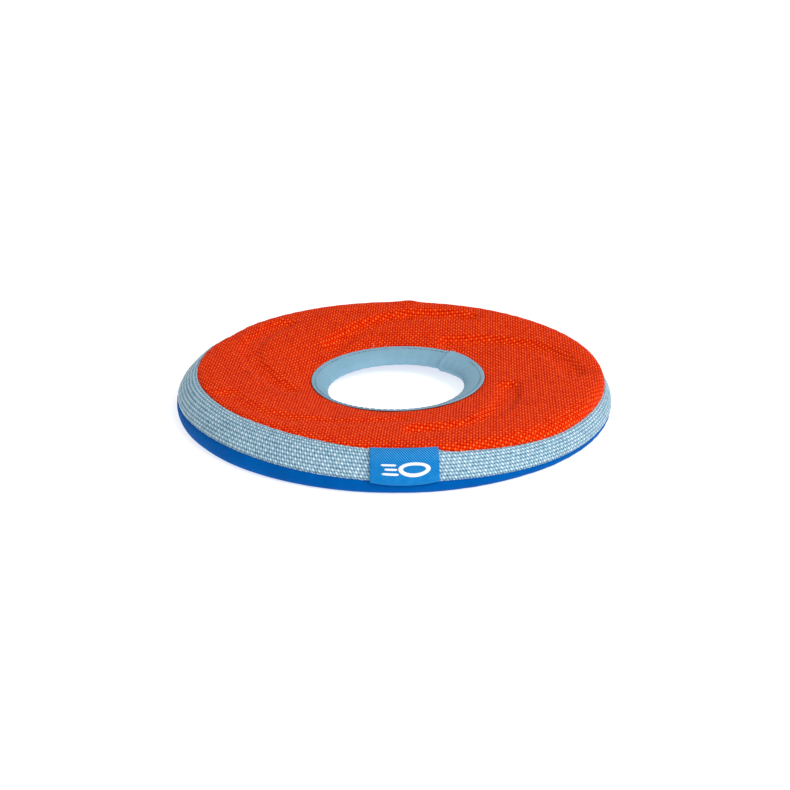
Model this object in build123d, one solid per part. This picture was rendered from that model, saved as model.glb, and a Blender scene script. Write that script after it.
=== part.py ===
"""A soft flying ring: sewn cloth panels over a foam ring, with a taped hole and a folded label.

Millimetres. The origin is the centre of the flat underside, +Z is up, and the label faces -Y.
Every cloth piece is a closed shell turned about Z from the outline of its section, drawn in the XZ plane.
"""

import os
from math import cos, radians, sin

from build123d import *

# The ring as a whole
rim_radius = 108.3  # at the seam between the side band and the bottom panel
top_seam_radius = 99.5
top_seam_height = 18.1
bottom_seam_height = 6.5
crown_radius = 93.0
crown_height = 18.75
hole_radius = 34.0  # the rounded nose of the tape around the hole
nose_height = 7.1
tape_edge_radius = 42.6  # where the tape's top edge is stitched to the top panel
tape_edge_height = 12.1
tape_foot_radius = 43.4  # where the tape's other edge ends, on the underside
tape_foot_height = 4.5
lifted_radius = 63.0  # inside this the underside rises off the ground towards the hole

# Cloth, thread and foam
panel_cloth = 0.9
bottom_cloth = 0.65
tape_cloth = 0.6
layer_gap = 0.1  # between one sewn layer and the next
thread_radius = 0.25
foam_split = 6.0  # the level where the two foam rings meet

# The grooves in the foam, which show as curved channels in the top
groove_width = 13.0
groove_line = [(2, 89.0), (18, 86.5), (36, 77.5), (46, 70.5), (60, 62.0)]  # (degrees round, radius)
# Where each groove starts, in degrees from +X, and how far its outer and inner ends lie off the line
grooves = [(-4, -6, -7), (66, -8, -7), (136, -5, -3), (206, -4, 0), (278, -14, -3)]

# The label, a loop of woven tape whose top is held in the top seam
label_width = 30.2
label_angle = 1.6  # degrees from -Y towards +X
label_top = 1.2  # from the top seam down the slope
label_length = 15.2
band_gap = 0.4  # width of the join where the band's two ends meet, under the label

# The slope of the side band, as a frame of its own: s runs down the slope and h stands off it
slope_run = rim_radius - top_seam_radius
slope_drop = top_seam_height - bottom_seam_height
slope_length = (slope_run**2 + slope_drop**2) ** 0.5
band_bulge = 0.9  # how far the band stands off a straight slope at its middle


def on_slope(s, h):
    """The point s mm down the straight slope from the top seam and h mm out from it."""
    along = (slope_run / slope_length, -slope_drop / slope_length)
    out = (slope_drop / slope_length, slope_run / slope_length)
    return (
        top_seam_radius + s * along[0] + h * out[0],
        top_seam_height + s * along[1] + h * out[1],
    )


def on_band(s, h):
    """The point s mm down the band and h mm out from its bulging outer face."""
    half = slope_length / 2
    bulge = band_bulge * (1 - ((s - half) / half) ** 2)
    return on_slope(s, h + bulge)


def section(*edges):
    """A closed outline in the XZ plane as a face, from edges that run end to end in XY."""
    return Plane.XZ * make_face(list(edges))


def beside(edge, distance):
    """The edge that keeps a distance to the right of another."""
    steps = 1 if edge.geom_type == GeomType.LINE else 8
    points = []
    for step in range(steps + 1):
        share = step / steps
        right = (edge % share).rotate(Axis.Z, -90)
        points.append((edge @ share) + right * distance)
    if steps == 1:
        return Line(*points)
    return Spline(*points, tangents=[edge % 0, edge % 1])


def cloth(thickness, *line):
    """The section of a strip of cloth: one face runs along the line and the body is to its right."""
    inner = [beside(edge, thickness) for edge in line]
    start = Line(line[0] @ 0, inner[0] @ 0)
    end = Line(line[-1] @ 1, inner[-1] @ 1)
    return section(*line, *inner, start, end)


def turned(face, degrees=360):
    """A section turned about the ring's axis."""
    return revolve(face, Axis.Z, degrees)


def thread_hoop(radius, height):
    """A line of stitching as one thin hoop."""
    return Pos(0, 0, height) * Torus(radius, thread_radius)


def top_panel():
    """The dished top, from under the tape at the hole to the allowance folded down inside the band."""
    allowance = Line(on_band(2.4, -1.6), on_band(6.0, -1.6))
    dish = Spline(
        (37.8, 9.6),
        (40.2, 11.2),
        (tape_edge_radius, tape_edge_height),
        (50.0, 13.7),
        (60.0, 15.4),
        (72.0, 17.1),
        (84.0, 18.25),
        (crown_radius, crown_height),
    )
    fold = Spline(dish @ 1, (97.2, 18.2), allowance @ 0, tangents=[dish % 1, allowance % 0])
    return turned(cloth(panel_cloth, dish, fold, allowance))


def side_band():
    """The sloping band between the two seams, open at the join of its ends."""
    face = Spline(on_band(1.2, 0), on_band(slope_length / 2, 0), on_band(14.2, 0))
    ring = turned(cloth(panel_cloth, face))
    gap = Box(band_gap, 40, 40, align=(Align.CENTER, Align.MAX, Align.CENTER))
    return ring - Rot(Z=label_angle) * Pos(0, -90, 0) * gap


def bottom_panel():
    """The flat underside and the low wall, with its top edge folded in behind the band."""
    allowance = Line(on_band(9.0, -1.6), on_band(13.0, -1.6))
    wall = Spline(
        allowance @ 1,
        (107.2, 5.85),
        (rim_radius, 3.8),
        (107.7, 1.3),
        (105.2, 0.0),
        tangents=[allowance % 1, (-1, 0)],
    )
    flat = Line(wall @ 1, (lifted_radius, 0.0))
    rise = Spline(
        flat @ 1,
        (57.0, 0.75),
        (50.0, 2.7),
        (tape_foot_radius, tape_foot_height + tape_cloth + layer_gap),
        (40.5, 5.3),
        (37.8, 5.35),
        tangents=[(-1, 0), (-1, 0)],
    )
    return turned(cloth(bottom_cloth, allowance, wall, flat, rise))


def hole_binding():
    """The tape folded over the edges of the hole."""
    underside = [(tape_foot_radius, tape_foot_height), (40.0, 4.5), (37.2, 4.65), (35.0, 5.4)]
    nose = [(hole_radius, nose_height)]
    topside = [(34.8, 8.8), (37.0, 10.5), (40.0, 11.95), (tape_edge_radius, tape_edge_height + 0.7)]
    around = Spline(*underside, *nose, *topside)
    return turned(cloth(tape_cloth, around))


def foam_base():
    """The lower foam ring, cut from flat sheet."""
    outline = Polyline(
        (46.5, foam_split),
        (46.5, 5.2),
        (50.0, 3.8),
        (57.0, 1.75),
        (lifted_radius, 0.9),
        (103.8, 0.8),
        (105.6, 1.3),
        (106.9, 2.4),
        (107.2, 3.8),
        (106.3, 5.0),
        (105.0, foam_split),
        close=True,
    )
    return turned(section(*outline.edges()))


def groove(start, outer_shift, inner_shift):
    """One curved slot: a strip that winds inwards, with round ends."""
    points = []
    for index, (turn, radius) in enumerate(groove_line):
        share = index / (len(groove_line) - 1)
        radius += outer_shift + (inner_shift - outer_shift) * share
        angle = radians(start + turn)
        points.append((radius * cos(angle), radius * sin(angle)))
    middle = Spline(*points)
    half = groove_width / 2
    samples = [step / 12 for step in range(13)]
    sides = []
    for sign in (1, -1):
        normals = [(middle % u).rotate(Axis.Z, 90 * sign) for u in samples]
        sides.append(Spline(*[(middle @ u) + normal * half for u, normal in zip(samples, normals)]))
    left, right = sides
    outer_end = ThreePointArc(left @ 0, (middle @ 0) - (middle % 0) * half, right @ 0)
    inner_end = ThreePointArc(left @ 1, (middle @ 1) + (middle % 1) * half, right @ 1)
    return extrude(make_face([left, inner_end, right, outer_end]), crown_height + 5)


def foam_top():
    """The upper foam ring, thick at the rim and squeezed thin at the hole, with its slots."""
    surface = Spline(
        (40.0, 9.4),
        (44.0, 11.1),
        (50.0, 12.5),
        (60.0, 14.2),
        (72.0, 15.9),
        (84.0, 17.1),
        (crown_radius, 17.6),
        (96.0, 17.1),
    )
    rim = Spline(surface @ 1, on_band(1.6, -2.8), on_band(6.0, -2.8), on_band(9.0, -2.8), (105.0, 6.6))
    level = foam_split + layer_gap
    base = Polyline(rim @ 1, (104.9, level), (40.0, level), surface @ 0)
    ring = turned(section(surface, rim, *base.edges()))
    for place in grooves:
        ring -= groove(*place)
    return ring


def label():
    """The woven loop: a narrow tube closed at its top, with a round fold at the bottom."""
    top = label_top
    low = label_top + label_length
    outside = Spline(
        on_slope(top, 0.72),
        on_slope(4.0, 1.15),
        on_slope(7.3, 1.3),
        on_slope(11.0, 1.1),
        on_slope(low - 1.8, 0.7),
        on_slope(low - 0.4, 0.8),
        on_slope(low, 1.45),
        on_slope(low - 0.4, 2.1),
        on_slope(low - 1.8, 2.35),
        on_slope(11.0, 2.55),
        on_slope(7.3, 2.5),
        on_slope(4.0, 2.3),
        on_slope(top, 1.9),
        on_slope(top - 0.6, 1.3),
        periodic=True,
    )
    inside = Spline(
        on_slope(5.0, 1.75),
        on_slope(7.3, 1.85),
        on_slope(11.0, 1.65),
        on_slope(low - 1.8, 1.25),
        on_slope(low - 0.7, 1.45),
        on_slope(low - 1.8, 1.8),
        on_slope(11.0, 2.0),
        on_slope(7.3, 1.98),
        periodic=True,
    )
    loop = Plane.XZ * (make_face(outside) - make_face(inside))
    strip = extrude(loop, label_width / 2, both=True)
    return Rot(Z=label_angle - 90) * strip


def band_join_thread():
    """The stitching that joins the two ends of the band, behind the label."""
    start = on_band(6.9, -1.3)
    end = on_band(8.4, -1.3)
    line = Line((start[0], 0, start[1]), (end[0], 0, end[1]))
    stitch = sweep(Plane(line @ 0, z_dir=line % 0) * Circle(thread_radius), line)
    return Rot(Z=label_angle - 90) * stitch


top_seam = on_band(3.0, -1.25)
bottom_seam = on_band(12.0, -1.25)
tape_top_stitch = (tape_edge_radius - 0.5, tape_edge_height + 0.95)
tape_bottom_stitch = (tape_foot_radius + 0.5, tape_foot_height)

pieces = {
    "top_panel": top_panel(),
    "side_band": side_band(),
    "bottom_panel": bottom_panel(),
    "hole_binding": hole_binding(),
    "foam_base": foam_base(),
    "foam_top": foam_top(),
    "top_seam_thread": thread_hoop(*top_seam),
    "bottom_seam_thread": thread_hoop(*bottom_seam),
    "binding_top_thread": thread_hoop(*tape_top_stitch),
    "binding_bottom_thread": thread_hoop(*tape_bottom_stitch),
    "band_join_thread": band_join_thread(),
    "label": label(),
}

os.makedirs("parts", exist_ok=True)
for name, solid in pieces.items():
    export_step(solid, f"parts/{name}.step")
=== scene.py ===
"""Looks of the soft flying ring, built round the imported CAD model.

Lengths in the shape functions are millimetres, and place() turns them into metres in the CAD frame.
An angle phi is measured round the ring in degrees from -Y, where the label is, towards +X.
"""
import math

import bpy
import numpy as np
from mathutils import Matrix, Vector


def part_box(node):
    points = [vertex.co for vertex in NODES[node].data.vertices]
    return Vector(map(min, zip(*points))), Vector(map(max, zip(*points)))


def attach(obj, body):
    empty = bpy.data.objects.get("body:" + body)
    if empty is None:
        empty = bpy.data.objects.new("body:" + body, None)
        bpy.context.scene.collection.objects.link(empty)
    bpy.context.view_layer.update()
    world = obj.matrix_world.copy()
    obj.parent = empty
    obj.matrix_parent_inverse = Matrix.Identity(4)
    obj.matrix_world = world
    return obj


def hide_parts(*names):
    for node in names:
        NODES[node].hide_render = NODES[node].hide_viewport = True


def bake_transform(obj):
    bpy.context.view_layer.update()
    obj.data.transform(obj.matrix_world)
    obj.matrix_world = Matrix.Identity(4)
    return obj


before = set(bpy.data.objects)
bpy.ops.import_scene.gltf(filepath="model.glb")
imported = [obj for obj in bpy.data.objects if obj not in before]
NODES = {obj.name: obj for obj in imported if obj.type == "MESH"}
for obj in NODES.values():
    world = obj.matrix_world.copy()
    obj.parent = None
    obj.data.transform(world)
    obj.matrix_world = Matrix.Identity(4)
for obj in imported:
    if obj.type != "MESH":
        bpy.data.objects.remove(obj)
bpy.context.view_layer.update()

MM = 0.001


def node_points(name):
    """A CAD node's points in millimetres."""
    points = np.zeros(len(NODES[name].data.vertices) * 3)
    NODES[name].data.vertices.foreach_get("co", points)
    return points.reshape(-1, 3) / MM


def widest(name):
    """The largest distance of a node from the ring's axis."""
    return float(np.hypot(*node_points(name)[:, :2].T).max())


# Sizes that come from the CAD model
rim_radius = widest("bottom_panel")
crown_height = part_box("top_panel")[1].z / MM
hole_radius = float(np.hypot(*node_points("hole_binding")[:, :2].T).min())

# Cloth: its yarns are closer one way than the other
panel_pitch = (1.34, 1.90)  # yarn to yarn in the top panel, across it and from front to back
band_pitch = (1.30, 1.62)  # round the band and down it
panel_thickness = 0.8
bottom_thickness = 0.6
tape_thickness = 0.5
fold_radius = 0.9  # of a panel's edge where it turns into a seam
seam_allowance = 2.6
tape_edge = 42.6  # radius of the tape's top edge
label_centre = 1.6
label_width = 30.2
grain = -3.0  # how far the top panel's weave is turned, in degrees
band_lean = 0.45  # how far the band's cross yarns lean, as a slope
hole_tilt = 1.1  # how much higher the edge of the hole stands on the +X side
tape_middle = 38.0  # radius halfway along the tape's section

# The ring's section as (radius, height), from under the tape, over the crown and down to the underside
SECTION = [
    (37.9, 9.6),
    (tape_edge, 12.1),
    (50.0, 13.7),
    (60.0, 15.4),
    (72.0, 17.1),
    (84.0, 18.25),
    (93.0, crown_height),
    (97.4, 18.6),
    (100.6, 17.5),
    (104.7, 12.9),
    (107.6, 8.2),
    (rim_radius, 5.0),
    (108.1, 2.2),
    (107.0, 0.5),
    (104.5, 0.0),
    (96.0, 0.0),
    (78.0, 0.0),
    (63.0, 0.0),
    (57.0, 0.75),
    (50.0, 2.7),
    (43.4, 5.2),
    (40.5, 5.3),
    (37.8, 5.4),
]

# How far along the section each seam runs, from the tape's edge, as (phi, distance)
TOP_SEAM = [
    (-180, 60.0), (-135, 60.0), (-108, 59.4), (-80, 57.2), (-60, 54.9), (-40, 53.6), (-22, 54.8),
    (-8, 56.7), (8.5, 57.1), (12.5, 59.5), (20, 60.8), (32, 62.6), (45, 64.0), (62, 64.0),
    (80, 64.2), (95, 63.6), (125, 60.5),
]
BOTTOM_SEAM = [
    (-180, 72.6), (-130, 73.2), (-90, 72.6), (-72, 71.4), (-60, 70.2), (-40, 70.0), (-20, 71.2),
    (0, 72.4), (15, 73.2), (32, 74.4), (50, 75.3), (70, 75.4), (100, 74.6), (140, 73.0),
]

# Roughly where the bottom seam runs along the section
bottom_seam_level = 72.4

# Channels in the top: the line down the middle of one, as (turn in degrees, radius)
CHANNEL_LINE = [(-2, 93), (18, 88), (36, 77.5), (46, 70.5), (64, 60)]
# Each channel: start in degrees from +X, depth, and how far its outer and inner ends lie off the line
CHANNELS = [(-4, 2.4, -6, -7), (66, 2.8, -8, -7), (136, 2.2, -5, -3), (206, 1.3, -4, 0), (278, 2.5, -16, -3)]
channel_half_width = 5.0
channel_slope = 5.6  # width of each sloping side


def smooth(points, x):
    """A smooth curve through points (x, y), read at x."""
    xs, ys = np.array(points, float).T
    slopes = np.gradient(ys, xs)
    i = np.clip(np.searchsorted(xs, x) - 1, 0, len(xs) - 2)
    width = xs[i + 1] - xs[i]
    s = (x - xs[i]) / width
    rise = ys[i + 1] - ys[i]
    left = slopes[i] * width
    right = slopes[i + 1] * width
    return ys[i] + s * left + s * s * (3 * rise - 2 * left - right) + s**3 * (left + right - 2 * rise)


def around(points, phi):
    """A smooth curve round the ring through points (phi, value), read at phi."""
    before = [(a - 360, v) for a, v in points[-3:]]
    after = [(a + 360, v) for a, v in points[:3]]
    return smooth(before + list(points) + after, (np.asarray(phi) + 180) % 360 - 180)


def section_table():
    """The section's radius and height as points (distance, value), with distance 0 at the tape's edge."""
    points = np.array(SECTION)
    steps = np.hypot(*np.diff(points, axis=0).T)
    along = np.concatenate([[0], np.cumsum(steps)]) - steps[0]
    return list(zip(along, points[:, 0])), list(zip(along, points[:, 1]))


RADII, HEIGHTS = section_table()
SECTION_END = RADII[-1][0]


def ease(x):
    """0 below 0, 1 above 1 and a smooth step between."""
    x = np.clip(x, 0, 1)
    return x * x * (3 - 2 * x)


def bump(x, width):
    """A smooth hump of height 1 at 0."""
    return np.exp(-((x / width) ** 2))


def turn_between(phi, centre):
    """phi minus centre, in degrees from -180 to 180."""
    return (np.asarray(phi) - centre + 180) % 360 - 180


def ripple(phi, t, size):
    """Slow unevenness of hand-filled cloth, of about the given size in mm."""
    a = np.radians(phi)
    waves = [(3, 0.021, 0.4), (5, 0.055, 2.0), (8, -0.04, 4.1), (13, 0.09, 1.2), (21, -0.12, 5.0)]
    total = sum(np.sin(n * a + k * t * math.tau + p) / (n**0.5) for n, k, p in waves)
    return size * total / 1.6


def pucker(phi, q, size):
    """Small gathers that run into a seam, strongest at it and gone a few mm away."""
    a = np.radians(phi)
    waves = np.sin(67 * a + 2 * np.sin(5 * a)) + 0.7 * np.sin(103 * a + 3 * np.sin(7 * a) + 1)
    return size * waves * np.exp(-np.abs(q) / 2.6)


def place(t, phi, depth):
    """Points in metres at distance t along the section, turned by phi and sunk by depth.

    The ring isn't quite even: its hole tilts, its seam has a small peak at the back, its rim is flatter at
    the back left, and it is a little wider towards the front left.
    """
    step = 0.05
    radius = smooth(RADII, t)
    height = smooth(HEIGHTS, t)
    run = smooth(RADII, t + step) - smooth(RADII, t - step)
    drop = smooth(HEIGHTS, t + step) - smooth(HEIGHTS, t - step)
    length = np.hypot(run, drop)
    radius = radius + depth * drop / length
    height = height - depth * run / length
    a = np.radians(phi)
    near_hole = 1 - ease((t + 2) / 34)
    height = height + hole_tilt * np.sin(a) * near_hole
    height = height + 1.0 * bump(turn_between(phi, 176.5), 3.2) * bump(t - 55, 6)
    radius = radius - 1.3 * bump(turn_between(phi, -119), 7) * ease((t - 40) / 15)
    radius = radius + (2.1 * np.cos(a + 1.08) - 0.4) * ease((t - 58) / 10)
    return np.stack([radius * np.sin(a), -radius * np.cos(a), height], -1) * MM


def fold(q, seam, sign, turn=math.pi / 2):
    """Where cloth lies that reaches q mm past a seam: (distance along the section, depth).

    It follows the ring up to the seam, turns inwards through an angle and goes straight on.
    """
    alpha = np.clip(q / fold_radius + 1, 0, turn)
    rest = q + fold_radius - fold_radius * alpha
    t = seam + sign * (fold_radius * (np.sin(alpha) - 1) + rest * np.cos(alpha))
    return t, fold_radius * (1 - np.cos(alpha)) + rest * np.sin(alpha)


def channels(x, y):
    """Depth of the curved channels at points of the top, in mm."""
    radius = np.hypot(x, y)
    total = np.zeros_like(radius)
    turns = np.linspace(CHANNEL_LINE[0][0], CHANNEL_LINE[-1][0], 70)
    share = np.linspace(0, 1, len(turns))
    for start, deep, outer_shift, inner_shift in CHANNELS:
        line_radius = smooth(CHANNEL_LINE, turns) + outer_shift * (1 - share) + inner_shift * share
        a = np.radians(start + turns)
        nearest = np.full(radius.shape, 1e9)
        for px, py in zip(line_radius * np.cos(a), line_radius * np.sin(a)):
            nearest = np.minimum(nearest, np.hypot(x - px, y - py))
        past_floor = nearest - channel_half_width + channel_slope / 2
        total = np.maximum(total, deep * (1 - ease(past_floor / channel_slope)))
    return total


def weave_height(u, v):
    """Height from 0 to 1 of a plain weave at yarn coordinates u and v."""
    cu, cv = np.cos(np.pi * u), np.cos(np.pi * v)
    warp = 0.55 * np.abs(cu) + 0.45 * np.sign(np.round(cu, 6)) * cv
    weft = 0.55 * np.abs(cv) - 0.45 * np.sign(np.round(cv, 6)) * cu
    return np.maximum(warp, weft)


def grid_normals(points, wraps):
    """Unit normals of a grid of points; wraps says that the first axis closes on itself."""
    along = np.roll(points, -1, 0) - np.roll(points, 1, 0) if wraps else np.gradient(points, axis=0)
    across = np.gradient(points, axis=1)
    normal = np.cross(along, across)
    return normal / np.maximum(np.linalg.norm(normal, axis=-1, keepdims=True), 1e-12)


def grid_quads(columns, rows, wraps):
    """Quads of a grid whose point (i, j) has the number i * rows + j."""
    i = np.arange(columns if wraps else columns - 1)
    j = np.arange(rows - 1)
    i, j = np.meshgrid(i, j, indexing="ij")
    k = (i + 1) % columns
    return np.stack([i * rows + j, k * rows + j, k * rows + j + 1, i * rows + j + 1], -1).reshape(-1, 4)


def shell_faces(quads, count):
    """Faces of a closed shell: a skin of quads, its inner side and the walls along the open edges."""
    edges = np.concatenate([quads[:, [k, (k + 1) % 4]] for k in range(4)])
    forward = edges[:, 0].astype(np.int64) * count + edges[:, 1]
    backward = edges[:, 1].astype(np.int64) * count + edges[:, 0]
    rim = edges[~np.isin(forward, backward)]
    walls = np.stack([rim[:, 1], rim[:, 0], rim[:, 0] + count, rim[:, 1] + count], -1)
    return np.concatenate([quads, quads[:, ::-1] + count, walls])


def closed_shell(name, outer, inner, quads, weave, material):
    """A closed piece of cloth from its outer and inner points and the quads of its skin."""
    outer, inner, weave = outer.reshape(-1, 3), inner.reshape(-1, 3), weave.reshape(-1, 2)
    used, faces = np.unique(shell_faces(quads, len(outer)), return_inverse=True)
    points = np.concatenate([outer, inner])[used]
    return mesh_piece(name, points, faces.reshape(-1, 4), np.concatenate([weave, weave])[used], material)


def mesh_piece(name, points, faces, weave, material):
    """A smooth-shaded mesh object with yarn coordinates in the attribute weave."""
    mesh = bpy.data.meshes.new(name)
    mesh.from_pydata(points.tolist(), [], faces.tolist())
    mesh.polygons.foreach_set("use_smooth", np.ones(len(mesh.polygons), bool))
    attribute = mesh.attributes.new("weave", "FLOAT_VECTOR", "POINT")
    flat = np.zeros((len(points), 3), np.float32)
    flat[:, : weave.shape[1]] = weave
    attribute.data.foreach_set("vector", flat.ravel())
    mesh.materials.append(material)
    mesh.update()
    piece = bpy.data.objects.new(name, mesh)
    bpy.context.scene.collection.objects.link(piece)
    return piece


def label_window(phi):
    """1 across the label's width, 0 away from it."""
    half = math.degrees(label_width / 2 / rim_radius)
    away = np.abs(turn_between(phi, label_centre)) - half
    return 1 - ease(away + 0.5)


def band_top(phi):
    """Where the band's upper edge turns in: a little lower behind the label."""
    return around(TOP_SEAM, phi) + 1.0 * label_window(phi)


def make_top_panel(material):
    """The orange top: its own square weave, dished, with the channels, and turned in at the seam."""
    half_x, half_y = (pitch / 2 for pitch in panel_pitch)
    columns, rows = (2 * int((tape_edge + 70) / half) + 1 for half in (half_x, half_y))
    i, j = np.meshgrid(np.arange(columns) - columns // 2, np.arange(rows) - rows // 2, indexing="ij")
    a = math.radians(grain)
    x = i * half_x * math.cos(a) - j * half_y * math.sin(a)
    y = i * half_x * math.sin(a) + j * half_y * math.cos(a)
    flat = np.hypot(x, y)
    phi = np.degrees(np.arctan2(x, -y))
    seam = around(TOP_SEAM, phi)
    inside = tape_edge - 2.4
    outside = tape_edge + seam + seam_allowance
    centre = (flat[:-1, :-1] + flat[1:, 1:]) / 2
    keep = (centre > inside) & (centre < outside[:-1, :-1])
    corner = (np.arange(columns - 1)[:, None] * rows + np.arange(rows - 1))[keep]
    quads = np.stack([corner, corner + rows, corner + rows + 1, corner + 1], -1)
    loose = np.isin(np.arange(columns * rows), quads).reshape(columns, rows)
    uses = np.bincount(quads.ravel(), minlength=columns * rows).reshape(columns, rows)
    edge = loose & (uses < 4)
    snapped = np.where(flat < tape_edge + 20, inside, outside)
    flat = np.where(edge, snapped, flat)
    q = flat - tape_edge - seam
    t, depth = fold(q, seam, 1)
    depth = depth + channels(flat * np.sin(np.radians(phi)), -flat * np.cos(np.radians(phi)))
    depth = depth + 0.45 * np.exp(-np.abs(q) / 2.0) + pucker(phi, q, 0.13) * (q < 0)
    depth = depth + ripple(phi, t, 0.22) * ease(-q / 6)
    depth = depth + 0.5 * np.exp(-np.abs(t) / 1.6)
    points = place(t, phi, depth)
    normal = grid_normals(points, False)
    height = (weave_height(i / 2, j / 2) - 0.5) * 0.34 * MM
    outer = points + normal * height[..., None]
    inner = points - normal * panel_thickness * MM
    weave = np.stack([i / 2, j / 2], -1)
    return closed_shell("top_panel_cloth", outer, inner, quads, weave, material)


def make_side_band(material):
    """The pale band: rows of yarn run round the ring and the cross yarns lean."""
    middle = rim_radius - 3.5
    columns = 2 * round(math.tau * middle / band_pitch[0])
    rows = 28
    i, j = np.meshgrid(np.arange(columns), np.arange(rows), indexing="ij")
    down = (rows - 1 - j) * band_pitch[1] / 2
    plain = i * 360 / columns
    lower = around(BOTTOM_SEAM, plain)
    t = lower + seam_allowance - down
    halfway = 65
    phi = plain + np.degrees(band_lean * (t - halfway) / middle)
    lower = around(BOTTOM_SEAM, phi)
    upper = band_top(phi)
    below = fold(t - lower, lower, 1)
    above = fold(upper - t, upper, -1, math.pi)
    low_half = t > (lower + upper) / 2
    q = np.where(low_half, lower - t, t - upper)
    depth = np.where(low_half, below[1], above[1])
    depth = depth + 0.35 * np.exp(-np.abs(q) / 1.6) + pucker(phi, q, 0.1) + ripple(phi, t, 0.1)
    across = turn_between(phi, label_centre) * middle / math.degrees(1)
    depth = depth + 0.6 * bump(across, 0.8)
    points = place(np.where(low_half, below[0], above[0]), phi, depth)
    normal = -grid_normals(points, True)
    weave = np.stack([i / 2, j / 2], -1)
    height = (weave_height(weave[..., 0], weave[..., 1]) - 0.5) * 0.36 * MM
    outer = points + normal * height[..., None]
    inner = points - normal * panel_thickness * MM
    quads = grid_quads(columns, rows, True)[:, ::-1]
    return closed_shell("side_band_cloth", outer, inner, quads, weave, material)


def make_bottom_panel(material):
    """The deep-blue wall and underside, in one cloth."""
    columns = 640
    wall = np.linspace(-seam_allowance, 14.0, 24)
    flat = np.linspace(15.0, 34.0, 8)
    under = np.linspace(37.0, SECTION_END - bottom_seam_level - 2.8, 22)
    down = np.concatenate([wall, flat, under])
    i, j = np.meshgrid(np.arange(columns), np.arange(len(down)), indexing="ij")
    phi = i * 360 / columns
    seam = around(BOTTOM_SEAM, phi)
    q = -down[j]
    room = 1 - (seam - bottom_seam_level) / (SECTION_END - bottom_seam_level)
    q = np.where(q < 0, q * room, q)
    t, depth = fold(q, seam, -1)
    depth = depth + 0.3 * np.exp(-np.abs(q) / 1.5) + pucker(phi, q, 0.16)
    standing = 1 - ease((t - 79) / 4)
    depth = depth + ripple(phi, t, 0.16) * standing
    depth = depth + 0.12 * (1 + ripple(phi, t, 1.0)) * (1 - standing)
    points = place(t, phi, depth)
    points[..., 2] = np.maximum(points[..., 2], 0)
    normal = -grid_normals(points, True)
    inner = points - normal * bottom_thickness * MM
    spread = rim_radius + 78 - t
    a = np.radians(phi)
    weave = np.stack([spread * np.sin(a), -spread * np.cos(a)], -1)
    quads = grid_quads(columns, len(down), True)[:, ::-1]
    return closed_shell("bottom_panel_cloth", points, inner, quads, weave, material)


def make_foam(name, skin, sunk, level, material):
    """A foam ring: its skin follows the cloth, sunk below it and under the channels, and it is cut level."""
    columns = 300
    i, t = np.meshgrid(np.arange(columns), skin, indexing="ij")
    phi = i * 360 / columns
    radius = smooth(RADII, t)
    over = channels(radius * np.sin(np.radians(phi)), -radius * np.cos(np.radians(phi))) * (t < 60)
    points = place(t, phi, sunk(t) + 1.4 * over)
    share = np.linspace(0, 1, 8)[None, :, None]
    cut = points[:, -1:] * (1 - share) + points[:, :1] * share
    cut[..., 2] = level * MM
    points = np.concatenate([points, cut], axis=1)
    number = np.arange(points.shape[0] * points.shape[1]).reshape(points.shape[:2])
    ahead = np.roll(number, -1, 0)
    quads = np.stack([number, np.roll(number, -1, 1), np.roll(ahead, -1, 1), ahead], -1).reshape(-1, 4)
    points = points.reshape(-1, 3)
    return mesh_piece(name, points, quads, points[:, :2] / MM, material)


# The tape's section from its top edge round the nose to its bottom edge, as (radius, height)
TAPE_SECTION = [
    (43.1, 12.85),
    (41.6, 12.6),
    (39.6, 11.75),
    (37.2, 10.5),
    (34.9, 8.8),
    (hole_radius, 7.1),
    (34.9, 5.4),
    (37.2, 4.65),
    (40.0, 4.5),
    (43.4, 4.5),
]
tape_stitch = 1.9  # mm in from the tape's edges
tape_start = 129.0
tape_end = 140.5  # where the folded end lies on top, after one whole turn


def tape_curves():
    """The tape's section as radius and height against distance from its top edge."""
    points = np.array(TAPE_SECTION)
    along = np.concatenate([[0], np.cumsum(np.hypot(*np.diff(points, axis=0).T))])
    return list(zip(along, points[:, 0])), list(zip(along, points[:, 1]))


TAPE_RADII, TAPE_HEIGHTS = tape_curves()
TAPE_WIDTH = TAPE_RADII[-1][0]


def on_tape(s, phi, lift):
    """Points in metres on the tape at s mm from its top edge, raised by lift."""
    step = 0.05
    run = smooth(TAPE_RADII, s + step) - smooth(TAPE_RADII, s - step)
    drop = smooth(TAPE_HEIGHTS, s + step) - smooth(TAPE_HEIGHTS, s - step)
    length = np.hypot(run, drop)
    radius = smooth(TAPE_RADII, s) + lift * drop / length
    height = smooth(TAPE_HEIGHTS, s) - lift * run / length
    a = np.radians(phi)
    high = ease(smooth(TAPE_HEIGHTS, s) / 12.0)
    nose = np.sin(math.pi * np.clip(s / TAPE_WIDTH, 0, 1)) ** 2
    height = height + hole_tilt * np.sin(a) * high + 0.9 * np.sin(a - 0.5) * nose
    radius = radius - 0.9 * np.sin(a) * nose
    return np.stack([radius * np.sin(a), -radius * np.cos(a), height], -1) * MM


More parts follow.
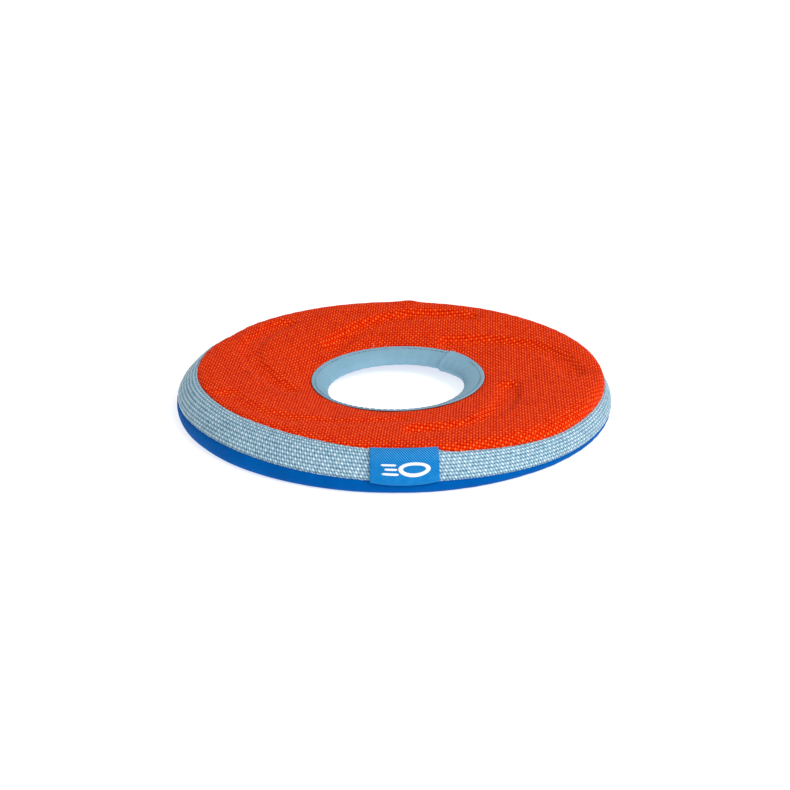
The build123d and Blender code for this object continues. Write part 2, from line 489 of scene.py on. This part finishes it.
def tape_lift(s, phi):
    """How far the tape stands off its section: over its own start at the lap, and where it ripples.

    phi runs on past 360 through the lap. On top the end lies over the start, and underneath it is the
    start that lies outside.
    """
    to_end = (tape_end + 360 - phi) * math.radians(1) * tape_middle
    from_start = (phi - tape_start) * math.radians(1) * tape_middle
    raised = 0.6 * (1 - ease((to_end - 7.5) / 12)) + 0.2 * (1 - ease((to_end - 2.2) / 0.8))
    underside = ease((s - TAPE_WIDTH * 0.62) / 4)
    hidden = 0.6 * underside * (1 - ease((from_start - 7.5) / 14))
    a = np.radians(phi)
    ripples = 0.07 * np.sin(41 * a + 1.3 * np.sin(3 * a)) * np.sin(math.pi * s / TAPE_WIDTH)
    stitched_down = 0.16 * np.exp(-(((s - tape_stitch) / 0.7) ** 2))
    return raised * (1 - underside) - hidden + ripples - stitched_down


def make_binding(material):
    """The tape round the hole, one whole turn with its folded end lapped over its start."""
    columns = 760
    rows = 38
    turn = np.linspace(tape_start, tape_end + 360, columns)
    i, j = np.meshgrid(np.arange(columns), np.arange(rows), indexing="ij")
    phi = turn[i]
    s = j * TAPE_WIDTH / (rows - 1)
    points = on_tape(s, phi, tape_lift(s, phi))
    points[..., 2] = np.maximum(points[..., 2], 0)
    normal = grid_normals(points, False)
    inner = points - normal * tape_thickness * MM
    weave = np.stack([phi * math.radians(1) * tape_middle, s], -1)
    quads = grid_quads(columns, rows, False)
    return closed_shell("hole_binding_tape", points, inner, quads, weave, material)


STITCH_RINGS = 7
STITCH_SIDES = 8


def stitch_shape():
    """Points and quads of one stitch of length, width and height 2, its ends drawn to small caps."""
    rings, sides = STITCH_RINGS, STITCH_SIDES
    u = np.linspace(-1, 1, rings)
    girth = np.sqrt(np.maximum(1 - 0.92 * u**4, 0))
    a = np.arange(sides) * math.tau / sides
    x = np.repeat(u, sides)
    y = np.outer(girth, np.cos(a)).ravel()
    z = np.outer(girth, np.sin(a)).ravel() - 0.7 * x**4
    quads = grid_quads(rings, sides, False)
    i = np.arange(rings - 1)
    closing = np.stack([i * sides + sides - 1, (i + 1) * sides + sides - 1, (i + 1) * sides, i * sides], -1)
    return np.stack([x, y, z], -1), np.concatenate([quads, closing])


def make_stitches(name, centres, along, out, length, width, material, extra=()):
    """A row of stitches as one piece of separate closed bodies, with any loose tails."""
    shape, quads = stitch_shape()
    side = np.cross(out, along)
    scale = np.array([length / 2, width / 2, width / 2]) * MM
    local = shape * scale
    points = (
        centres[:, None]
        + local[None, :, :1] * along[:, None]
        + local[None, :, 1:2] * side[:, None]
        + local[None, :, 2:] * out[:, None]
    )
    count = len(shape)
    faces = [tuple(q + k * count) for k in range(len(centres)) for q in quads]
    for k in range(len(centres)):
        first, end = k * count, (k + 1) * count
        faces.append(tuple(range(first, first + STITCH_SIDES))[::-1])
        faces.append(tuple(range(end - STITCH_SIDES, end)))
    points = points.reshape(-1, 3)
    ply = np.tile(shape[:, :2] * [length / 2, 1], (len(centres), 1))
    for tail in extra:
        tail_points, tail_faces = thread_tail(tail, width / 2 * MM * 0.8)
        faces += [tuple(n + len(points) for n in face) for face in tail_faces]
        points = np.concatenate([points, tail_points])
        ply = np.concatenate([ply, np.zeros((len(tail_points), 2))])
    mesh = bpy.data.meshes.new(name)
    mesh.from_pydata(points.tolist(), [], [tuple(int(n) for n in f) for f in faces])
    mesh.polygons.foreach_set("use_smooth", np.ones(len(mesh.polygons), bool))
    attribute = mesh.attributes.new("weave", "FLOAT_VECTOR", "POINT")
    attribute.data.foreach_set("vector", np.pad(ply, ((0, 0), (0, 1))).astype(np.float32).ravel())
    mesh.materials.append(material)
    piece = bpy.data.objects.new(name, mesh)
    bpy.context.scene.collection.objects.link(piece)
    return piece


def thread_tail(path, radius, sides=6):
    """A short loose thread along a few points, as a closed tube."""
    path = np.array(path)
    fine = np.linspace(0, len(path) - 1, 14)
    knots = np.arange(len(path))
    line = np.stack([smooth(list(zip(knots, path[:, k])), fine) for k in range(3)], -1)
    ahead = np.gradient(line, axis=0)
    ahead /= np.linalg.norm(ahead, axis=1, keepdims=True)
    side = np.cross(ahead, [0.3, 0.9, 0.1])
    side /= np.linalg.norm(side, axis=1, keepdims=True)
    up = np.cross(ahead, side)
    a = np.arange(sides) * math.tau / sides
    taper = np.linspace(1, 0.6, len(line))[:, None, None] * radius
    ring = np.cos(a)[None, :, None] * side[:, None] + np.sin(a)[None, :, None] * up[:, None]
    points = (line[:, None] + ring * taper).reshape(-1, 3)
    faces = []
    for k in range(len(line) - 1):
        for m in range(sides):
            n = (m + 1) % sides
            faces.append((k * sides + m, k * sides + n, (k + 1) * sides + n, (k + 1) * sides + m))
    faces.append(tuple(range(sides))[::-1])
    faces.append(tuple(range((len(line) - 1) * sides, len(line) * sides)))
    return points, faces


def row_frames(place_at, phi):
    """Centres, directions along the row and outward directions of stitches at the angles phi."""
    step = 0.1
    centres = place_at(phi, 0.0)
    along = place_at(phi + step, 0.0) - place_at(phi - step, 0.0)
    out = place_at(phi, 0.5) - centres
    along /= np.linalg.norm(along, axis=1, keepdims=True)
    out /= np.linalg.norm(out, axis=1, keepdims=True)
    return centres, along, out


def stitched_round(name, place_at, radius, pitch, length, width, material, extra=()):
    """Stitches evenly round the ring at a given pitch."""
    count = round(math.tau * radius / pitch)
    phi = np.arange(count) * 360 / count
    return make_stitches(name, *row_frames(place_at, phi), length, width, material, extra)


# The label's section, from inside the seam down its face, round the lower fold and up its back:
# (distance below the seam, height off the band)
LABEL_FACE = [(0.5, -1.7), (0.6, -0.6), (1.2, 0.3), (2.8, 0.95), (6.0, 1.4), (10.0, 1.6), (13.6, 1.9)]
LABEL_FOLD = [(15.6, 1.95), (16.5, 1.55), (16.7, 1.1), (16.2, 0.7)]
LABEL_BACK = [(14.4, 0.5), (10.0, 0.35), (6.0, 0.3), (2.9, 0.2), (1.5, -0.1), (0.95, -0.7), (0.9, -1.7)]
label_thickness = 0.4


def label_curves():
    """The label's section as distance below the seam and height, against length along the cloth."""
    points = np.array(LABEL_FACE + LABEL_FOLD + LABEL_BACK)
    along = np.concatenate([[0], np.cumsum(np.hypot(*np.diff(points, axis=0).T))])
    return list(zip(along, points[:, 0])), list(zip(along, points[:, 1]))


LABEL_DROP, LABEL_LIFT = label_curves()
LABEL_LENGTH = LABEL_DROP[-1][0]


def on_label(x, s, lift=0.0):
    """Points in metres on the label at x mm from its middle and s mm along its cloth."""
    seam = float(around(TOP_SEAM, label_centre))
    bow = 0.9 * (1 - (2 * x / label_width) ** 2)
    below = smooth(LABEL_DROP, s)
    height = smooth(LABEL_LIFT, s) + lift
    share = ease((below - 6) / 10)
    height = height + 0.35 * bow * share * np.sign(np.maximum(height - 0.8, 0))
    t = seam + below + bow * share
    return place(t, label_centre + np.degrees(x / smooth(RADII, t)), -height)


def make_label(material):
    """The woven label: one strip down its face, round the fold and up its back."""
    columns = 61
    rows = 96
    i, j = np.meshgrid(np.arange(columns), np.arange(rows), indexing="ij")
    x = (i / (columns - 1) - 0.5) * label_width
    s = j * LABEL_LENGTH / (rows - 1)
    points = on_label(x, s)
    normal = grid_normals(points, False)
    inner = points + normal * label_thickness * MM
    weave = np.stack([x, s], -1)
    quads = grid_quads(columns, rows, False)[:, ::-1]
    return closed_shell("label_loop", points, inner, quads, weave, material)


def make_mark(material):
    """A plain woven mark: a flat ring seen at an angle, with three strokes behind it."""
    pieces = []
    ring_count, ring_rows = 72, 7
    a = np.arange(ring_count) * math.tau / ring_count
    across = np.linspace(-1, 1, ring_rows)
    grow = 1 + 0.30 * across[None, :]
    x = 4.2 + 6.0 * np.cos(a)[:, None] * (1 + 0.17 * across[None, :])
    y = 12.0 - 2.1 * np.sin(a)[:, None] * grow
    pieces.append((x, y, across, True))
    for left, right, row in ((-10.4, -3.6, 10.4), (-8.8, -3.2, 12.1), (-10.0, -2.6, 13.8)):
        along = np.linspace(left, right, 24)
        narrow = np.sqrt(np.clip(1 - ((along - left) / (right - left) * 2 - 1) ** 6, 0.05, 1))
        x = np.repeat(along[:, None], ring_rows, 1)
        y = row + 0.42 * across[None, :] * narrow[:, None]
        pieces.append((x, y, across, False))
    points, faces, weave = [], [], []
    start = 0
    for x, y, across, wraps in pieces:
        crown = 0.05 + 0.16 * (1 - across[None, :] ** 2) * np.ones_like(x)
        top = on_label(x, y, crown).reshape(-1, 3)
        base = on_label(x, y, np.full_like(x, -0.1)).reshape(-1, 3)
        quads = grid_quads(x.shape[0], x.shape[1], wraps)
        faces.append(shell_faces(quads, len(top)) + start)
        points += [top, base]
        flat = np.stack([x, y], -1).reshape(-1, 2)
        weave += [flat, flat]
        start += 2 * len(top)
    return mesh_piece(
        "label_mark", np.concatenate(points), np.concatenate(faces), np.concatenate(weave), material
    )


# Materials


class Tree:
    """A material's nodes, added by short calls."""

    def __init__(self, name):
        self.material = bpy.data.materials.new(name)
        self.material.use_nodes = True
        self.nodes = self.material.node_tree.nodes
        self.links = self.material.node_tree.links
        self.shader = self.nodes["Principled BSDF"]

    def add(self, kind, inputs=(), **settings):
        """A node with its settings, and its inputs as {name or number: value or socket}."""
        made = self.nodes.new(kind)
        for key, value in settings.items():
            setattr(made, key, value)
        for key, value in dict(inputs).items():
            self.feed(made, key, value)
        return made

    def feed(self, made, key, value):
        """Sets or links one input."""
        if isinstance(value, bpy.types.NodeSocket):
            self.links.new(value, made.inputs[key])
        else:
            made.inputs[key].default_value = value

    def calc(self, operation, a, b=0.0, c=0.0):
        """The result of a Math node."""
        return self.add("ShaderNodeMath", {0: a, 1: b, 2: c}, operation=operation).outputs[0]

    def span(self, value, low, high, to_low=0.0, to_high=1.0):
        """A value mapped smoothly from one range to another."""
        inputs = {"Value": value, "From Min": low, "From Max": high, "To Min": to_low, "To Max": to_high}
        return self.add("ShaderNodeMapRange", inputs, interpolation_type="SMOOTHSTEP").outputs[0]

    def mix(self, share, a, b, blend="MIX"):
        """Two colours mixed."""
        made = self.add("ShaderNodeMix", {"Factor": share}, data_type="RGBA", blend_type=blend)
        self.feed(made, 6, a)
        self.feed(made, 7, b)
        return made.outputs[2]

    def noise(self, vector, scale, detail=2.0, roughness=0.5):
        """A noise value from about 0 to 1."""
        inputs = {"Vector": vector, "Scale": scale, "Detail": detail, "Roughness": roughness}
        return self.add("ShaderNodeTexNoise", inputs).outputs["Fac"]

    def ramp(self, value, stops):
        """A colour ramp with stops (position, colour)."""
        made = self.add("ShaderNodeValToRGB", {0: value})
        elements = made.color_ramp.elements
        while len(elements) < len(stops):
            elements.new(0.5)
        for element, (position, colour) in zip(elements, stops):
            element.position = position
            element.color = (*colour, 1)
        return made.outputs[0]

    def yarns(self):
        """The yarn coordinates of the mesh as (vector, u, v)."""
        vector = self.add("ShaderNodeAttribute", attribute_name="weave").outputs["Vector"]
        parts = self.add("ShaderNodeSeparateXYZ", {0: vector})
        return vector, parts.outputs[0], parts.outputs[1]

    def place(self):
        """The point on the object, in metres."""
        return self.add("ShaderNodeTexCoord").outputs["Object"]

    def bump(self, height, distance, strength, under=None):
        """A bumped normal, on top of another one."""
        inputs = {"Height": height, "Distance": distance, "Strength": strength}
        made = self.add("ShaderNodeBump", inputs)
        if under is not None:
            self.links.new(under, made.inputs["Normal"])
        return made.outputs[0]

    def finish(self, colour, roughness, normal, **constants):
        """Feeds the shader and returns the material."""
        self.feed(self.shader, "Base Color", colour)
        self.feed(self.shader, "Roughness", roughness)
        self.feed(self.shader, "Normal", normal)
        self.shader.inputs["Specular IOR Level"].default_value = 0.3
        for key, value in constants.items():
            self.shader.inputs[key.replace("_", " ")].default_value = value
        return self.material


def plain_weave(tree, u, v):
    """Height of a plain weave, how far the warp yarn is over the weft one, and its filaments."""
    cu = tree.calc("COSINE", tree.calc("MULTIPLY", u, math.pi))
    cv = tree.calc("COSINE", tree.calc("MULTIPLY", v, math.pi))
    warp_rise = tree.calc("MULTIPLY", tree.calc("SIGN", cu), tree.calc("MULTIPLY", cv, 0.45))
    weft_rise = tree.calc("MULTIPLY", tree.calc("SIGN", cv), tree.calc("MULTIPLY", cu, -0.45))
    warp = tree.calc("MULTIPLY_ADD", tree.calc("ABSOLUTE", cu), 0.55, warp_rise)
    weft = tree.calc("MULTIPLY_ADD", tree.calc("ABSOLUTE", cv), 0.55, weft_rise)
    over = tree.span(tree.calc("SUBTRACT", warp, weft), -0.12, 0.12)
    return tree.calc("MAXIMUM", warp, weft), over


def coarse_cloth(name, dark, base, light, painted_glint, roughness, fade, tint, gloss):
    """Coarse multifilament cloth: yarn crests painted lighter as if lit, gaps painted dark as shade, painted
    glints on the warp crossings, filaments and some wear.
    """
    tree = Tree(name)
    vector, u, v = tree.yarns()
    place_at = tree.place()
    wobble = tree.calc("MULTIPLY_ADD", tree.noise(vector, 0.9, 2), 0.16, -0.08)
    u = tree.calc("ADD", u, wobble)
    v = tree.calc("SUBTRACT", v, wobble)
    height, over = plain_weave(tree, u, v)
    strands = 6.0
    fray = tree.calc("MULTIPLY", tree.noise(vector, 7.0, 3), 5.0)
    along_warp = tree.calc("SINE", tree.calc("MULTIPLY_ADD", u, math.tau * strands, fray))
    along_weft = tree.calc("SINE", tree.calc("MULTIPLY_ADD", v, math.tau * strands, fray))
    lines = tree.add("ShaderNodeMix", {"Factor": over, 2: along_weft, 3: along_warp}).outputs[0]
    patch = tree.noise(place_at, 55.0, 4, 0.6)
    cell = tree.add("ShaderNodeVectorMath", {0: vector}, operation="FLOOR").outputs[0]
    per_yarn = tree.noise(cell, 0.73, 0)
    level = tree.calc("MULTIPLY_ADD", lines, 0.035, height)
    level = tree.calc("MULTIPLY_ADD", tree.calc("SUBTRACT", per_yarn, 0.5), 0.34, level)
    worn = tree.noise(place_at, 420.0, 3, 0.6)
    level = tree.calc("MULTIPLY_ADD", tree.calc("SUBTRACT", worn, 0.5), 0.5, level)
    # The yarn's height picks the colour: painted shade in the gaps, painted light on the crests and a
    # painted glint on the highest points.
    colour = tree.ramp(level, [(0.12, dark), (0.45, base), (0.78, light), (0.97, painted_glint)])
    # Only the warp crossings show the painted glint; the weft crossings get these colours without it.
    without_painted_glint = tree.ramp(level, [(0.15, dark), (0.60, base), (1.0, light)])
    colour = tree.mix(over, without_painted_glint, colour)
    colour = tree.mix(tree.span(patch, 0.35, 0.8, 0.0, fade), colour, (*light, 1))
    colour = tree.mix(tree.span(patch, 0.2, 0.5, 0.22, 0.0), colour, (*dark, 1))
    grain = tree.calc("MULTIPLY_ADD", lines, 0.10, height)
    normal = tree.bump(grain, 0.00035, 0.75)
    fuzz = tree.noise(place_at, 5200.0, 2)
    normal = tree.bump(fuzz, 0.00006, 0.25, normal)
    rough = tree.calc("MULTIPLY_ADD", patch, 0.16, roughness - 0.08)
    return tree.finish(colour, rough, normal, Specular_Tint=tint, Specular_IOR_Level=gloss)


def fine_cloth(name, dark, base, light, pitch, roughness, sheen, tint, gloss):
    """Smooth cloth whose yarns are only just seen, with soft handling marks."""
    tree = Tree(name)
    vector, u, v = tree.yarns()
    place_at = tree.place()
    height, _ = plain_weave(tree, tree.calc("DIVIDE", u, pitch), tree.calc("DIVIDE", v, pitch))
    broad = tree.noise(place_at, 38.0, 5, 0.62)
    slub = tree.add("ShaderNodeMapping", {"Vector": vector, "Scale": (0.25, 2.6, 1.0)}).outputs[0]
    slubs = tree.noise(slub, 1.3, 3)
    level = tree.calc("MULTIPLY_ADD", height, 0.30, tree.calc("MULTIPLY", broad, 0.62))
    level = tree.calc("MULTIPLY_ADD", slubs, 0.24, level)
    colour = tree.ramp(level, [(0.32, dark), (0.58, base), (0.92, light)])
    normal = tree.bump(height, 0.00010, 0.55)
    normal = tree.bump(broad, 0.0011, 0.16, normal)
    rough = tree.calc("MULTIPLY_ADD", broad, 0.2, roughness - 0.1)
    fuzz = {"Sheen_Weight": sheen, "Sheen_Roughness": 0.4}
    return tree.finish(colour, rough, normal, Specular_Tint=tint, Specular_IOR_Level=gloss, **fuzz)


def label_cloth(name, dark, base, light):
    """Woven label: a fine diagonal satin with bright ribs, plainer towards its lower fold."""
    tree = Tree(name)
    vector, u, v = tree.yarns()
    ribs = tree.calc("SINE", tree.calc("MULTIPLY", tree.calc("SUBTRACT", u, v), math.tau / 1.15))
    picks = tree.calc("SINE", tree.calc("MULTIPLY", v, math.tau / 0.26))
    warps = tree.calc("SINE", tree.calc("MULTIPLY", u, math.tau / 0.22))
    upper = tree.span(v, 6.5, 10.5, 1.0, 0.25)
    broad = tree.noise(vector, 0.35, 3)
    level = tree.calc("MULTIPLY_ADD", tree.calc("MULTIPLY", ribs, upper), 0.34, 0.42)
    level = tree.calc("MULTIPLY_ADD", picks, 0.06, level)
    level = tree.calc("MULTIPLY_ADD", broad, 0.18, level)
    colour = tree.ramp(level, [(0.15, dark), (0.5, base), (0.95, light)])
    grain = tree.calc("MULTIPLY_ADD", picks, 0.5, warps)
    normal = tree.bump(grain, 0.00003, 0.5)
    normal = tree.bump(tree.calc("MULTIPLY", ribs, upper), 0.00009, 0.5, normal)
    rough = tree.calc("MULTIPLY_ADD", broad, 0.12, 0.42)
    return tree.finish(colour, rough, normal, Specular_Tint=(0.2, 0.6, 1.0, 1), Specular_IOR_Level=0.15)


def mark_thread(name, shade, base):
    """White satin-woven thread, its floats across the strokes."""
    tree = Tree(name)
    vector, u, _ = tree.yarns()
    floats = tree.calc("SINE", tree.calc("MULTIPLY", u, math.tau / 0.3))
    stray = tree.noise(vector, 3.0, 3)
    level = tree.calc("MULTIPLY_ADD", floats, 0.22, tree.calc("MULTIPLY_ADD", stray, 0.4, 0.4))
    colour = tree.ramp(level, [(0.15, shade), (0.6, base)])
    normal = tree.bump(level, 0.00006, 0.7)
    return tree.finish(colour, tree.calc("MULTIPLY_ADD", stray, 0.1, 0.4), normal, Sheen_Weight=0.1)


def sewing_thread(name, shade, base, light):
    """Twisted thread: slanting plies along each stitch."""
    tree = Tree(name)
    _, u, v = tree.yarns()
    plies = tree.calc("SINE", tree.calc("MULTIPLY_ADD", u, 9.0, tree.calc("MULTIPLY", v, 3.0)))
    # Noise picks out stretches of thread in the darker and the lighter colours.
    dark_and_pale_stretches = tree.noise(tree.place(), 90.0, 3)
    level = tree.calc("MULTIPLY_ADD", plies, 0.2, dark_and_pale_stretches)
    colour = tree.ramp(level, [(0.25, shade), (0.5, base), (0.85, light)])
    normal = tree.bump(plies, 0.00008, 0.6)
    return tree.finish(colour, tree.calc("MULTIPLY_ADD", dark_and_pale_stretches, 0.2, 0.45), normal, Sheen_Weight=0.1)


def foam_skin(name, shade, base):
    """Closed-cell foam: fine cells and a soft mottle."""
    tree = Tree(name)
    place_at = tree.place()
    cells = tree.add("ShaderNodeTexVoronoi", {"Vector": place_at, "Scale": 1400.0}).outputs["Distance"]
    mottle = tree.noise(place_at, 60.0, 3)
    level = tree.calc("MULTIPLY_ADD", cells, 0.5, mottle)
    colour = tree.ramp(level, [(0.3, shade), (0.9, base)])
    normal = tree.bump(cells, 0.0002, 0.6)
    return tree.finish(colour, tree.calc("MULTIPLY_ADD", mottle, 0.1, 0.8), normal, Sheen_Weight=0.05)


# In the two coarse cloths the dark colour is painted shade in the yarn gaps, the light one is painted light
# on the crests and the brightest is a painted glint.
ORANGE = coarse_cloth(
    "orange_nylon",
    dark=(0.30, 0.002, 0.0),
    base=(0.76, 0.018, 0.0),
    light=(0.99, 0.050, 0.002),
    painted_glint=(1.0, 0.24, 0.05),
    roughness=0.55,
    fade=0.08,
    tint=(1.0, 0.16, 0.02, 1),
    gloss=0.04,
)
PALE = coarse_cloth(
    "pale_blue_nylon",
    dark=(0.010, 0.05, 0.10),
    base=(0.165, 0.36, 0.51),
    light=(0.44, 0.66, 0.79),
    painted_glint=(1.0, 1.0, 1.0),
    roughness=0.46,
    fade=0.08,
    tint=(0.9, 0.96, 1.0, 1),
    gloss=0.55,
)
DEEP = fine_cloth(
    "deep_blue_polyester",
    dark=(0.0, 0.062, 0.27),
    base=(0.0, 0.096, 0.385),
    light=(0.0, 0.135, 0.50),
    pitch=0.42,
    roughness=0.7,
    sheen=0.0,
    tint=(0.05, 0.4, 1.0, 1),
    gloss=0.06,
)
TAPE = fine_cloth(
    "light_blue_tape",
    dark=(0.14, 0.29, 0.42),
    base=(0.215, 0.41, 0.54),
    light=(0.29, 0.50, 0.62),
    pitch=0.36,
    roughness=0.6,
    sheen=0.05,
    tint=(0.8, 0.92, 1.0, 1),
    gloss=0.3,
)
AZURE = label_cloth("azure_label", (0.0, 0.10, 0.38), (0.001, 0.185, 0.54), (0.10, 0.48, 0.92))
WHITE = mark_thread("white_woven_thread", (0.58, 0.66, 0.78), (0.92, 0.94, 0.97))
SEAM_THREAD = sewing_thread("seam_thread", (0.20, 0.28, 0.34), (0.38, 0.50, 0.58), (0.56, 0.68, 0.75))
# The tape thread's darkest colour, in the stretches that the noise picks, is painted shade along its
# stitches.
TAPE_THREAD = sewing_thread("tape_thread", (0.03, 0.06, 0.10), (0.15, 0.26, 0.36), (0.55, 0.67, 0.75))
FOAM = foam_skin("foam_cells", (0.52, 0.52, 0.50), (0.74, 0.74, 0.71))


# The pieces

top_panel = make_top_panel(ORANGE)
side_band = make_side_band(PALE)
bottom_panel = make_bottom_panel(DEEP)
binding = make_binding(TAPE)
label = make_label(AZURE)
mark = make_mark(WHITE)
foam_top = make_foam(
    "foam_top_ring", np.linspace(0, 66, 60), lambda t: 1.3 + 1.7 * ease((t - 48) / 8), 6.1, FOAM
)
foam_base = make_foam(
    "foam_base_ring", np.linspace(71, SECTION_END - 9, 40), lambda t: 1.0 + 0 * t, 5.9, FOAM
)


def seam_line(curve, sunk):
    """The place of a seam's stitches: at an angle and a height, sunk in the crease."""
    return lambda phi, up: place(around(curve, phi), phi, sunk - up)


def loose_tail(phi, points):
    """A loose end's points in metres, from (mm in from the tape's edge, mm up, mm along)."""
    a = math.radians(phi)
    base = on_tape(np.array([1.0]), np.array([phi]), -0.3)[0]
    inward = np.array([-math.sin(a), math.cos(a), 0])
    along = np.array([math.cos(a), math.sin(a), 0])
    return [base + (inward * -p + np.array([0, 0, 1.0]) * u + along * w) * MM for p, u, w in points]


TAILS = [
    loose_tail(-163.0, [(-0.3, 0.1, 0.0), (0.8, 1.0, 0.3), (1.6, 2.2, 0.1), (2.6, 2.9, -0.6)]),
    loose_tail(-171.0, [(-0.3, 0.1, 0.0), (0.6, 0.8, -0.3), (1.5, 1.3, -0.9)]),
    loose_tail(118.0, [(-0.3, 0.1, 0.0), (0.4, 0.6, 0.5), (0.2, 0.9, 1.3)]),
]

top_seam_row = stitched_round(
    "top_seam_stitches", seam_line(TOP_SEAM, 1.0), 99.5, 3.2, 2.4, 0.5, SEAM_THREAD
)
bottom_seam_row = stitched_round(
    "bottom_seam_stitches", seam_line(BOTTOM_SEAM, 1.0), rim_radius, 3.2, 2.4, 0.5, SEAM_THREAD
)
tape_top_row = stitched_round(
    "binding_top_stitches",
    lambda phi, up: on_tape(np.full_like(phi, tape_stitch), phi, -0.05 - up),
    tape_edge,
    3.1,
    2.3,
    0.42,
    TAPE_THREAD,
    TAILS,
)
tape_bottom_row = stitched_round(
    "binding_bottom_stitches",
    lambda phi, up: on_tape(np.full_like(phi, TAPE_WIDTH - tape_stitch), phi, 0.12 - up),
    tape_edge,
    3.1,
    2.3,
    0.36,
    TAPE_THREAD,
)


def join_row():
    """The stitches down the band's join, behind the label."""
    t = np.arange(float(band_top(label_centre)) + 2.0, 71.0, 2.6)
    phi = np.full_like(t, label_centre)
    centres = place(t, phi, 0.75)
    along = place(t + 0.1, phi, 0.75) - centres
    out = place(t, phi, 0.0) - centres
    along /= np.linalg.norm(along, axis=1, keepdims=True)
    out /= np.linalg.norm(out, axis=1, keepdims=True)
    return make_stitches("band_join_stitches", centres, along, out, 1.9, 0.45, SEAM_THREAD)


band_join = join_row()

for piece, node, slot in (
    (top_panel, "top_panel", "top_cloth"),
    (side_band, "side_band", "band_cloth"),
    (bottom_panel, "bottom_panel", "bottom_cloth"),
    (binding, "hole_binding", "binding_tape"),
    (top_seam_row, "top_seam_thread", "seam_thread"),
    (bottom_seam_row, "bottom_seam_thread", "seam_thread"),
    (tape_top_row, "binding_top_thread", "tape_thread"),
    (tape_bottom_row, "binding_bottom_thread", "tape_thread"),
    (band_join, "band_join_thread", "seam_thread"),
):
    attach(piece, "ring")
    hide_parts(node)

for foam, node in ((foam_top, "foam_top"), (foam_base, "foam_base")):
    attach(foam, "ring")
    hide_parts(node)

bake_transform(label)
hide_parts("label")
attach(mark, "label")


# Floor, light and camera


def add_floor():
    """A plain pale floor under the ring, clear when it is looked at from below."""
    tree = Tree("pale_floor")
    speck = tree.noise(tree.place(), 3.0, 2)
    colour = tree.ramp(speck, [(0.0, (0.54, 0.54, 0.54)), (1.0, (0.57, 0.57, 0.57))])
    normal = tree.bump(speck, 0.0001, 0.05)
    glow = {"Emission_Strength": 0.7, "Emission_Color": (1, 1, 1, 1)}
    material = tree.finish(colour, tree.calc("MULTIPLY_ADD", speck, 0.05, 0.85), normal, **glow)
    behind = tree.add("ShaderNodeNewGeometry").outputs["Backfacing"]
    clear = tree.add("ShaderNodeBsdfTransparent").outputs[0]
    seen = tree.add("ShaderNodeMixShader", {0: behind, 1: tree.shader.outputs[0], 2: clear}).outputs[0]
    tree.links.new(seen, tree.nodes["Material Output"].inputs["Surface"])
    size = 60.0
    mesh = bpy.data.meshes.new("floor")
    corners = [(-size, -size, 0), (size, -size, 0), (size, size, 0), (-size, size, 0)]
    mesh.from_pydata([(x, y, z - 0.0002) for x, y, z in corners], [], [(0, 1, 2, 3)])
    mesh.materials.append(material)
    floor = bpy.data.objects.new("floor", mesh)
    bpy.context.scene.collection.objects.link(floor)


def add_light(name, where, size, power):
    """A square soft light that faces the ring."""
    light = bpy.data.lights.new(name, "AREA")
    light.shape = "SQUARE"
    light.size = size
    light.energy = power
    lamp = bpy.data.objects.new(name, light)
    lamp.location = where
    lamp.rotation_mode = "QUATERNION"
    facing = -lamp.location
    lamp.rotation_quaternion = facing.to_track_quat("-Z", "Y")
    bpy.context.scene.collection.objects.link(lamp)


def add_world(strength):
    """An even pale surround."""
    world = bpy.data.worlds.new("studio")
    world.use_nodes = True
    background = world.node_tree.nodes["Background"]
    background.inputs[0].default_value = (1, 1, 1, 1)
    background.inputs[1].default_value = strength
    bpy.context.scene.world = world


def add_camera():
    """The camera: in front, looking down at the ring."""
    elevation = math.radians(22.5)
    distance = 0.811
    camera_data = bpy.data.cameras.new("camera")
    camera_data.sensor_width = 36.0
    camera_data.lens = 73.55
    camera_data.shift_x = -0.00367
    camera_data.shift_y = 0.006835
    camera = bpy.data.objects.new("camera", camera_data)
    camera.location = (0, -distance * math.cos(elevation), distance * math.sin(elevation))
    camera.rotation_euler = (math.pi / 2 - elevation, 0, 0)
    bpy.context.scene.collection.objects.link(camera)
    bpy.context.scene.camera = camera


add_floor()
add_light("key", (0.66, -0.68, 0.90), 0.7, 10.3)
add_world(0.57)
add_camera()
bpy.context.scene.view_settings.view_transform = "Standard"

bpy.context.view_layer.update()
